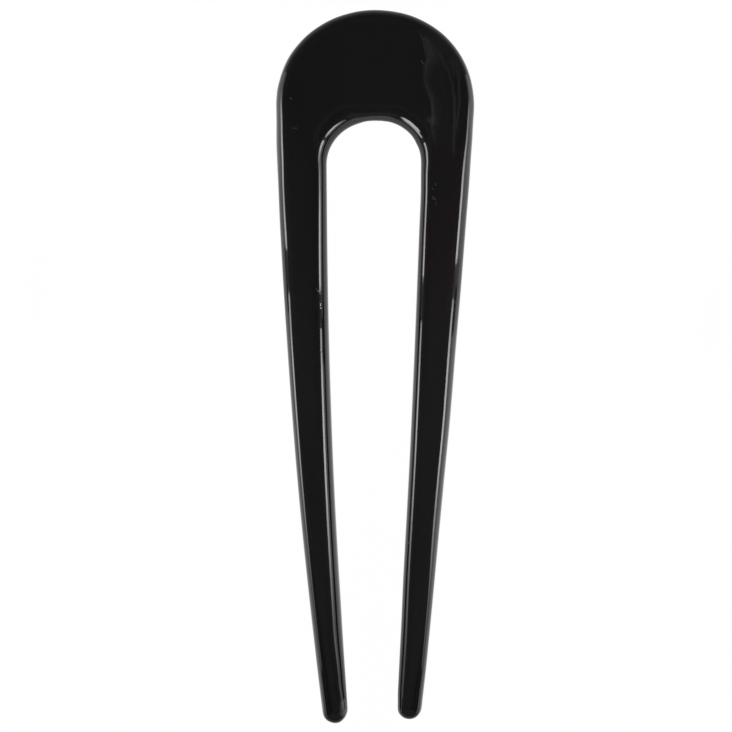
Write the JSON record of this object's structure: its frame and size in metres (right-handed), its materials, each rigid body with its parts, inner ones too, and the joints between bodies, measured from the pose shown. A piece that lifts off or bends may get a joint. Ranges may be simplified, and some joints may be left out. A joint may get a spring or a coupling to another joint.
{
  "type": "hairpin",
  "caption": "Flat two pronged hairpin with a round head and tapering, round tipped prongs, for holding up a twist or bun of hair.",
  "frame": {"origin": "middle of the pin's length and width, on the plane of its flat back face", "axes": "+Y along the pin towards the crown of the head, +Z out of the front face, +X across the pin towards the straighter prong"},
  "size_m": [0.0306, 0.11, 0.004],
  "materials": {
    "black_plastic": "polished gloss black, with rims rounded over from face to face"
  },
  "bodies": {
    "root": {"hairpin_body": "black_plastic"}
  },
  "joints": []
}
